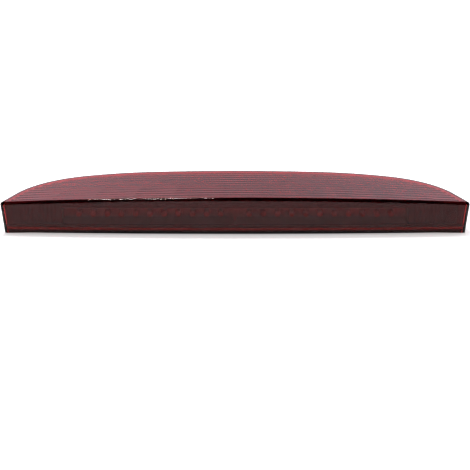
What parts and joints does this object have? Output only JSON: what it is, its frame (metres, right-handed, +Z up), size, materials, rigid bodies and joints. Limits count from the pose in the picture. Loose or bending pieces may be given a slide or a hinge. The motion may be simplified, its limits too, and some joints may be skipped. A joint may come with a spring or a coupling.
{
  "type": "third brake light",
  "caption": "High-level brake light: crescent smoked red lens cap over a black base, with a long row of diodes behind a bowed lit face.",
  "frame": {"origin": "middle of the flat mounting plane, under the lamp's bounding box", "axes": "+X across the vehicle, to the right as the lit face is looked at; the lit face looks along -Y; +Z up from the mounting plane"},
  "size_m": [0.3732, 0.0848, 0.031],
  "materials": {
    "red_lens": "smoked red, polished, translucent",
    "black_plastic": "moulded black, fine grain",
    "seal_rubber": "soft black elastomer",
    "foam": "closed-cell black foam",
    "brass": "turned and knurled",
    "bezel_plastic": "satin black",
    "baffle_plastic": "dark grey, plain",
    "reflector_plastic": "dark grey, dull reflective coating",
    "board_laminate": "green solder mask",
    "led_epoxy": "clear red-tinted epoxy",
    "tinned_wire": "tin plated",
    "solder": "bright solder",
    "chip_body": "moulded epoxy",
    "capacitor_can": "plain drawn can",
    "screw_steel": "zinc plated",
    "pin_metal": "tin plated brass",
    "membrane": "white breathable film"
  },
  "bodies": {
    "root": {"outer_lens": "red_lens", "base_housing": "black_plastic", "lens_seal": "seal_rubber", "base_gasket": "foam", "insert_seals": "foam", "socket_foam": "foam", "threaded_inserts": "brass", "bezel": "bezel_plastic", "light_baffle": "baffle_plastic", "reflector_trough": "reflector_plastic", "led_board": "board_laminate", "led_row": "led_epoxy", "led_legs": "tinned_wire", "solder_joints": "solder", "resistors": "chip_body", "blocking_diode": "chip_body", "surge_suppressor": "chip_body", "filter_capacitor": "capacitor_can", "board_screws": "screw_steel", "unit_screws": "screw_steel", "connector_socket": "black_plastic", "socket_seal": "seal_rubber", "socket_screws": "screw_steel", "terminal_supply": "pin_metal", "terminal_ground": "pin_metal", "vent_membrane": "membrane", "vent_ring": "black_plastic"}
  },
  "joints": []
}
